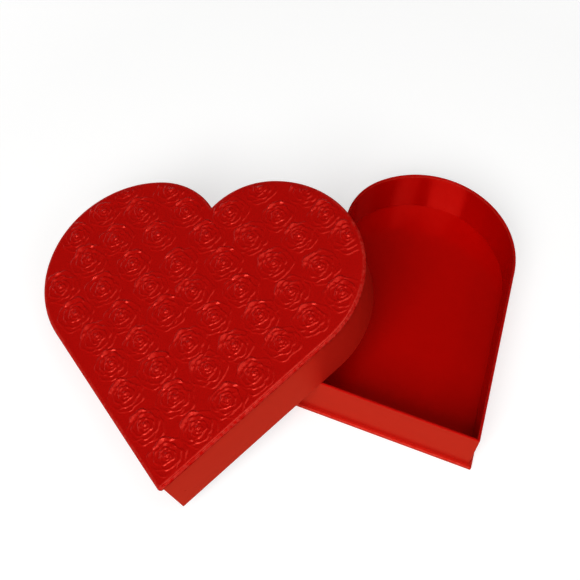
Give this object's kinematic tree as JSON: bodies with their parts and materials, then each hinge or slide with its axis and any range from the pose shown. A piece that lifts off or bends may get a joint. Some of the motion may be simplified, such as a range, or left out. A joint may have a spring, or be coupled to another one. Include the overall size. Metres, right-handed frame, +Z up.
{
  "type": "heart-shaped gift box",
  "caption": "Heart-shaped paperboard gift box: an open tray on a flanged base, and a lift-off lid with an embossed rose top that leans on the tray.",
  "frame": {"origin": "on the tray's underside, below the middle of the line between the tray's two lobe centres", "axes": "+Z up out of the open tray, -Y towards the tray's tip, +X to the right with the tip towards the viewer"},
  "size_m": [0.3052, 0.2548, 0.0959],
  "materials": {
    "rose_paper": "embossed satin",
    "red_paper": "satin",
    "lining_paper": "gloss",
    "greyboard": "matte",
    "stay_tape": "matte"
  },
  "bodies": {
    "tray": {"tray_base_board": "greyboard", "tray_base_wrap": "red_paper", "tray_floor_card": "greyboard", "tray_floor_liner": "lining_paper", "tray_wall_left": "greyboard", "tray_wall_right": "greyboard", "tray_tip_stay": "stay_tape", "tray_cleft_stay": "stay_tape", "tray_wall_wrap": "red_paper", "tray_wall_lining": "lining_paper"},
    "lid": {"lid_top_board": "greyboard", "lid_top_wrap": "rose_paper", "lid_ceiling_card": "greyboard", "lid_ceiling_liner": "lining_paper", "lid_skirt_left": "greyboard", "lid_skirt_right": "greyboard", "lid_tip_stay": "stay_tape", "lid_cleft_stay": "stay_tape", "lid_skirt_wrap": "red_paper", "lid_skirt_lining": "lining_paper"}
  },
  "joints": [
    {"name": "lid_lift", "type": "slide", "parent": "tray", "child": "lid", "axis": [0, 0, 1], "range_m": [0, 0.12]}
  ]
}
